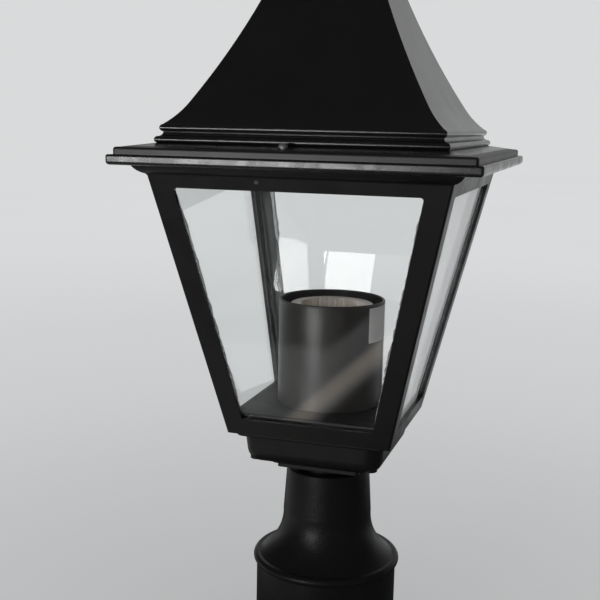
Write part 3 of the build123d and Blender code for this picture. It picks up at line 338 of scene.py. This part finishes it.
def chip_in_paint(material, spot, reach):
    """A small knock that shows the pale primer."""
    tree = material.node_tree
    shader = next(node for node in tree.nodes if node.type == "BSDF_PRINCIPLED")
    place = Value(next(node for node in tree.nodes if node.type == "TEX_COORD").outputs["Object"])
    away = place.node("ShaderNodeVectorMath", {"operation": "DISTANCE"}, {0: place, 1: spot}, "Value")
    ragged = away + (place.grain(1100.0, 3.0) - 0.5) * reach
    chipped = ragged.span(reach, reach * 0.5)
    painted = Value(shader.inputs["Base Color"].links[0].from_socket)
    bare = (chipped * 0.4).blend(painted, PRIMER)
    tree.links.new(bare.socket, shader.inputs["Base Color"])


satin_paint = black_paint("black_powder_coat", 0.34, 0.05, 0.25)
chip_in_paint(satin_paint, CHIP_AT, CHIP_R)
for painted in ("foot_plate", "base_tray", "lantern_frame"):
    cover(painted, satin_paint)
glossy_paint = black_paint("glossy_black_coat", 0.20, 0.06, 0.5)
for painted in ("roof_canopy", "roof_cap", "finial"):
    cover(painted, glossy_paint)
grainy_paint = black_paint("grainy_black_coat", 0.28, 0.22, 0.16)
for painted in ("post_collar", "neck"):
    cover(painted, grainy_paint)

# ------------------------------------------------------------------ clear panes
# Four trapezium panes of 2 mm float glass stand inside the cage on its web, bedded
# in clear sealant. Seen aslant they show a pale film, partly dirt and partly a painted
# reflection of the bright room, up to a clear rim beside the bars, a painted shade where the bars block that
# reflection.
BAR_EDGE_LEAN, BAR_EDGE_START = 0.2180, 0.0020     # half width of a window at a height
# Painted shade: the film of dirt and painted reflection stays off a rim beside the bars.
PAINTED_SHADE_RIM, FILM_AND_SHEEN_FULL = 0.0078, 0.0086             # how far in from there the film begins
FILM_AND_SHEEN_ASLANT = (0.67, 0.76)
FILM_AND_SHEEN_SHARE, WIPED_SHARE, WIPES_PER_M = 0.52, 0.2, 40.0
FILM_AND_SHEEN_COLOUR = grey(0.86, -0.01)
GLASS_COLOUR, GLASS_SHADOW = (0.975, 0.985, 0.98, 1.0), (0.93, 0.94, 0.935, 1.0)


def float_glass():
    """Clear glass with the film of dirt and painted reflection, letting light through to what stands behind
    it.
    """
    material, place = new_material("float_glass")
    glass = place.node(
        "ShaderNodeBsdfPrincipled",
        None,
        {"Base Color": GLASS_COLOUR, "Roughness": 0.0, "IOR": 1.5, "Transmission Weight": 1.0},
    )
    wiped = place.grain(WIPES_PER_M, 3.0, 0.6, 0.4)
    film_and_sheen = place.node("ShaderNodeBsdfDiffuse", None, {"Color": FILM_AND_SHEEN_COLOUR})
    through = place.node("ShaderNodeBsdfTranslucent", None, {"Color": FILM_AND_SHEEN_COLOUR})
    film_and_sheen = place.node("ShaderNodeMixShader", None, {0: 0.5, 1: film_and_sheen, 2: through})
    aslant = place.node("ShaderNodeLayerWeight", None, {"Blend": 0.5}, "Facing")
    along = place.axis("X").sum("ABSOLUTE").sum("MINIMUM", place.axis("Y").sum("ABSOLUTE"))
    bar_edge = place.axis("Z") * BAR_EDGE_LEAN + BAR_EDGE_START
    # painted shade: no film near the bars, where they would block the mirrored room
    past_shaded_rim = (bar_edge - along).span(PAINTED_SHADE_RIM, FILM_AND_SHEEN_FULL)
    film_and_sheen_share = aslant.span(*FILM_AND_SHEEN_ASLANT) * past_shaded_rim * (FILM_AND_SHEEN_SHARE + (wiped - 0.5) * WIPED_SHARE)
    glass = place.node("ShaderNodeMixShader", None, {0: film_and_sheen_share, 1: glass, 2: film_and_sheen})
    clear = place.node("ShaderNodeBsdfTransparent", None, {"Color": GLASS_SHADOW})
    shadow = ray_kind(place, "Is Shadow Ray")
    finish_material(place, place.node("ShaderNodeMixShader", None, {0: shadow, 1: glass, 2: clear}))
    return material


glass = float_glass()
for side in ("front", "right", "back", "left"):
    cover(f"glass_{side}", glass)


# ------------------------------------------------------------------ sealant beads
# Clear silicone holds the panes: a squeezed-out bead beside each upright of each
# window, thickest at the front, one in every inner corner, and a broad smear at the
# back left. It was run by hand, so the beads are lumpy and break off here and there.
FRAME_LOW, FRAME_HIGH = (0.1228, 0.0379), (0.2403, 0.0648)     # height and half width of the cage
WINDOW_LOW, WINDOW_HIGH = (0.1303, 0.0092), (0.2352, 0.0104)   # height and width of a corner bar
PANE_FACE, PANE_BACK = 0.0020, 0.0041                          # depths of a pane's faces behind the cage's
THREAD_LOW = Vector((-0.0287, -0.0385, 0.1303))                # a stray thread in the front corner
THREAD_HIGH = Vector((-0.0252, -0.0385, 0.1332))
BEAD_LOW_Z, CORNER_BEAD_LOW_Z, BEAD_HIGH_Z = 0.1306, 0.1330, 0.2350
SMEAR_LOW_Z = 0.2010
# For the front, right, back and left: a bead's thickest place, and how far it hides
# behind the bar.
BEADS_BY_SIDE = ((0.0014, 0.0001), (0.0012, 0.0002), (0.0009, 0.0003), (0.0009, 0.0003))
BEAD_STEPS, BEAD_SIDES = 110, 10
TAPERED_END = 9.0            # a bead thins over one part in this many at each end


def between(low, high, height):
    """Straight line through two (height, size) pairs."""
    return low[1] + (high[1] - low[1]) * (height - low[0]) / (high[0] - low[0])


def squeezed_bead(shape, seed, low, high, centre, thin, thick, lumps=170.0):
    """Upright lumpy bead; centre gives its place across at each height."""
    rings = []
    for step in range(BEAD_STEPS + 1):
        height = low + (high - low) * step / BEAD_STEPS
        x, y = centre(height)
        swell = 0.5 + 0.5 * noise.noise(Vector((seed * 7.3, 0.0, height * lumps)))
        swell += 0.30 * noise.noise(Vector((seed * 3.1, 5.0, height * lumps * 4.0)))
        ends = min(1.0, TAPERED_END * step / BEAD_STEPS, TAPERED_END * (BEAD_STEPS - step) / BEAD_STEPS)
        radius = (thin + (thick - thin) * min(max(swell, 0.0), 1.0)) * (0.15 + 0.85 * ends)
        ring = []
        for side in range(BEAD_SIDES):
            turn = 2 * math.pi * side / BEAD_SIDES
            around = Vector((math.cos(turn), math.sin(turn), height * 260.0 + seed))
            reach = radius * (1.0 + 0.28 * noise.noise(around * 1.7))
            ring.append(shape.verts.new((x + reach * math.cos(turn), y + reach * math.sin(turn), height)))
        rings.append(ring)
    for lower, upper in zip(rings, rings[1:]):
        for side in range(BEAD_SIDES):
            after = (side + 1) % BEAD_SIDES
            face = shape.faces.new((lower[side], lower[after], upper[after], upper[side]))
            face.smooth = True
    shape.faces.new(list(reversed(rings[0])))
    shape.faces.new(rings[-1])


def turned_place(quarter, x, y):
    """A place on the front face moved round to another face of the cage."""
    for _ in range(quarter):
        x, y = -y, x
    return x, y


def sealant_beads():
    """All the beads as one piece, in the place of the plain ones."""
    mesh = bpy.data.meshes.new("sealant_beads")
    shape = bmesh.new()
    for quarter, (thick, hidden) in enumerate(BEADS_BY_SIDE):
        for hand in (-1, 1):

            def beside_upright(height, quarter=quarter, hand=hand, hidden=hidden):
                width = between(FRAME_LOW, FRAME_HIGH, height)
                edge = width - between(WINDOW_LOW, WINDOW_HIGH, height)
                return turned_place(quarter, hand * (edge + hidden), -(width - PANE_FACE + 0.0001))

            seed = 2 * quarter + hand
            squeezed_bead(shape, seed, BEAD_LOW_Z, BEAD_HIGH_Z, beside_upright, 0.0002, thick)

        def inner_corner(height, quarter=quarter):
            inside = between(FRAME_LOW, FRAME_HIGH, height) - PANE_BACK - 0.0001
            return turned_place(quarter, -inside, -inside)

        seed = 20 + quarter
        squeezed_bead(shape, seed, CORNER_BEAD_LOW_Z, BEAD_HIGH_Z, inner_corner, 0.0005, 0.0012, 120.0)

    def smear(height):
        width = between(FRAME_LOW, FRAME_HIGH, height)
        edge = width - between(WINDOW_LOW, WINDOW_HIGH, height)
        return -(edge - 0.0012), width - PANE_BACK - 0.0003

    squeezed_bead(shape, 31, SMEAR_LOW_Z, BEAD_HIGH_Z, smear, 0.0008, 0.0015, 300.0)

    def thread(height):
        along = (height - THREAD_LOW.z) / (THREAD_HIGH.z - THREAD_LOW.z)
        place = THREAD_LOW.lerp(THREAD_HIGH, along)
        return place.x, place.y

    squeezed_bead(shape, 40, THREAD_LOW.z, THREAD_HIGH.z, thread, 0.0002, 0.0003)
    shape.to_mesh(mesh)
    shape.free()
    beads = bpy.data.objects.new("sealant_beads", mesh)
    bpy.context.collection.objects.link(beads)

    material, place = new_material("clear_sealant")
    crinkle = place.grain(1400.0, 3.0, 0.6)
    bumps = place.node("ShaderNodeBump", None, {"Strength": 1.0, "Distance": 0.0008, "Height": crinkle})
    body = place.node(
        "ShaderNodeBsdfPrincipled",
        None,
        {
            "Base Color": (0.90, 0.93, 0.92, 1.0),
            "Roughness": 0.03 + crinkle * 0.06,
            "IOR": 1.41,
            "Transmission Weight": 0.92,
            "Normal": bumps,
        },
    )
    finish_material(place, body)
    mesh.materials.append(material)
    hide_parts("silicone_beads")
    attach(beads, "root")


sealant_beads()

# ------------------------------------------------------------------ floor plate
# A pressed steel plate closes the cage's foot under the lampholder. It is painted
# the same black, a little duller, and holds some dust.
cover("floor_plate", black_paint("dull_black_paint", 0.46, 0.04, 0.25))

# ------------------------------------------------------------------ lampholder cup
# A deep-drawn steel cup, lacquered a dark brown-grey, with a rolled rim.


def cup_lacquer():
    """Thin dark lacquer, a little uneven."""
    material, place = new_material("cup_lacquer")
    mottle = place.grain(70.0, 5.0, 0.65)
    grit = place.grain(2600.0, 2.0)
    colour = mottle.blend(grey(0.0065, 0.14), grey(0.012, 0.16))
    bumps = place.node("ShaderNodeBump", None, {"Strength": 0.04, "Distance": 0.0003, "Height": grit})
    shader = place.node(
        "ShaderNodeBsdfPrincipled",
        None,
        {
            "Base Color": colour,
            "Roughness": 0.38 + (mottle - 0.5) * 0.14,
            "IOR": 1.5,
            "Specular IOR Level": 0.45,
            "Normal": bumps,
        },
    )
    finish_material(place, shader)
    return material


cover("holder_cup", cup_lacquer())

# ------------------------------------------------------------------ label on the cup
# A plain pale paper label, stuck round the side of the cup under its rim.


def label_paper():
    """Coated paper with faint stains."""
    material, place = new_material("label_paper")
    fibre = place.grain(900.0, 4.0, 0.7)
    stain = place.grain(120.0, 2.0)
    colour = (stain * 0.6 + fibre * 0.2).clamped().blend(grey(0.50, 0.02), grey(0.40, 0.03))
    inputs = {"Base Color": colour, "Roughness": 0.55 + fibre * 0.1}
    shader = place.node("ShaderNodeBsdfPrincipled", None, inputs)
    finish_material(place, shader)
    return material


cover("holder_sticker", label_paper())

# ------------------------------------------------------------------ lampholder
# The holder's body is pressed porcelain with a thin pale glaze, ribbed inside its
# mouth; a brass shell takes the lamp and a brass tongue touches its middle.


def porcelain():
    """Off-white glazed ceramic with small dark specks."""
    material, place = new_material("porcelain")
    cloud = place.grain(150.0, 4.0, 0.6)
    speck = place.grain(1500.0, 2.0).span(0.66, 0.78)
    colour = cloud.blend((0.70, 0.62, 0.56, 1.0), (0.78, 0.71, 0.65, 1.0))
    colour = (speck * 0.5).blend(colour, (0.30, 0.24, 0.20, 1.0))
    bumps = place.node("ShaderNodeBump", None, {"Strength": 0.08, "Distance": 0.0005, "Height": cloud})
    shader = place.node(
        "ShaderNodeBsdfPrincipled",
        None,
        {"Base Color": colour, "Roughness": 0.34 + speck * 0.2, "IOR": 1.5, "Normal": bumps},
    )
    finish_material(place, shader)
    return material


cover("holder_body", porcelain())


STREAKS_PER_M = 260.0


def bare_metal(name, bright, dark, gloss):
    """Metal with faint upright streaks, tarnished from the bright to the dark colour."""
    material, place = new_material(name)
    drawn_out = place.node("ShaderNodeMapping", None, {"Vector": place, "Scale": (1.0, 1.0, 9.0)})
    streak = drawn_out.grain(STREAKS_PER_M, 4.0, 0.6)
    tarnish = place.grain(STREAKS_PER_M * 0.5, 5.0, 0.65).span(0.35, 0.75)
    bumps = place.node("ShaderNodeBump", None, {"Strength": 0.06, "Distance": 0.0002, "Height": streak})
    shader = place.node(
        "ShaderNodeBsdfPrincipled",
        None,
        {
            "Base Color": tarnish.blend(bright, dark),
            "Metallic": 1.0,
            "Roughness": gloss + (streak - 0.5) * 0.2 + tarnish * 0.1,
            "Normal": bumps,
        },
    )
    finish_material(place, shader)
    return material


brass = bare_metal("brass", (0.80, 0.60, 0.28, 1.0), (0.52, 0.36, 0.16, 1.0), 0.30)
for piece in ("screw_shell", "centre_contact", "centre_terminal", "shell_terminal"):
    cover(piece, brass)

# ------------------------------------------------------------------ fixings
# Zinc plated steel for the bracket, tube, nuts, washers and screws, dull nickel
# for the two round-headed roof screws, blackened steel for the grub screws.
zinc = bare_metal("zinc_plate", (0.62, 0.63, 0.65, 1.0), (0.44, 0.44, 0.43, 1.0), 0.32)
for piece in (
    "holder_bracket", "holder_screws", "terminal_screws", "frame_screws", "finial_nut", "finial_stud",
    "earth_tag", "earth_screw", "nipple_tube", "nipple_nuts", "nipple_washer", "terminal_strap",
    "terminal_block_screws",
):
    cover(piece, zinc)
nickel = bare_metal("dull_nickel", (0.50, 0.50, 0.49, 1.0), (0.38, 0.37, 0.35, 1.0), 0.62)
for end in ("front", "back"):
    cover(f"roof_screw_{end}", nickel)
black_steel = bare_metal("black_steel", (0.10, 0.10, 0.105, 1.0), (0.06, 0.055, 0.05, 1.0), 0.36)
for number in (1, 2, 3):
    cover(f"grub_screw_{number}", black_steel)


# ------------------------------------------------------------------ gasket, connector and leads
# A foam gasket under the roof, a nylon connector block in the neck, soft bushes on
# the tube's ends, and three insulated leads.
def plastic(name, light, dark, gloss, scale=300.0):
    """Soft or hard plastic; scale is how fine its surface is."""
    material, place = new_material(name)
    cloud = place.grain(scale, 4.0, 0.6)
    bumps = place.node("ShaderNodeBump", None, {"Strength": 0.05, "Distance": 0.0003, "Height": cloud})
    shader = place.node(
        "ShaderNodeBsdfPrincipled",
        None,
        {
            "Base Color": cloud.blend(light, dark),
            "Roughness": gloss + (cloud - 0.5) * 0.15,
            "Normal": bumps,
        },
    )
    finish_material(place, shader)
    return material


cover("roof_gasket", plastic("foam_gasket", grey(0.030), grey(0.018), 0.85, 900.0))
cover("terminal_block", plastic("natural_nylon", (0.78, 0.76, 0.69, 1.0), (0.70, 0.68, 0.60, 1.0), 0.45))
cover("nipple_bushes", plastic("soft_bush", grey(0.66), grey(0.56, 0.02), 0.55))
cover("lead_live", plastic("brown_sleeve", (0.19, 0.075, 0.03, 1.0), (0.14, 0.05, 0.02, 1.0), 0.35))
cover("lead_neutral", plastic("blue_sleeve", (0.03, 0.12, 0.45, 1.0), (0.02, 0.09, 0.36, 1.0), 0.35))


EARTH_BANDS_PER_M = 2600.0


def striped_sleeve():
    """Green and yellow sleeve of the earth lead."""
    material, place = new_material("earth_sleeve")
    band = place.axis("X") * EARTH_BANDS_PER_M
    stripe = band.sum("SINE").span(-0.2, 0.2)
    cloud = place.grain(300.0, 3.0)
    colour = stripe.blend((0.10, 0.42, 0.06, 1.0), (0.78, 0.66, 0.05, 1.0))
    inputs = {"Base Color": colour, "Roughness": 0.30 + cloud * 0.1}
    shader = place.node("ShaderNodeBsdfPrincipled", None, inputs)
    finish_material(place, shader)
    return material


cover("lead_earth", striped_sleeve())
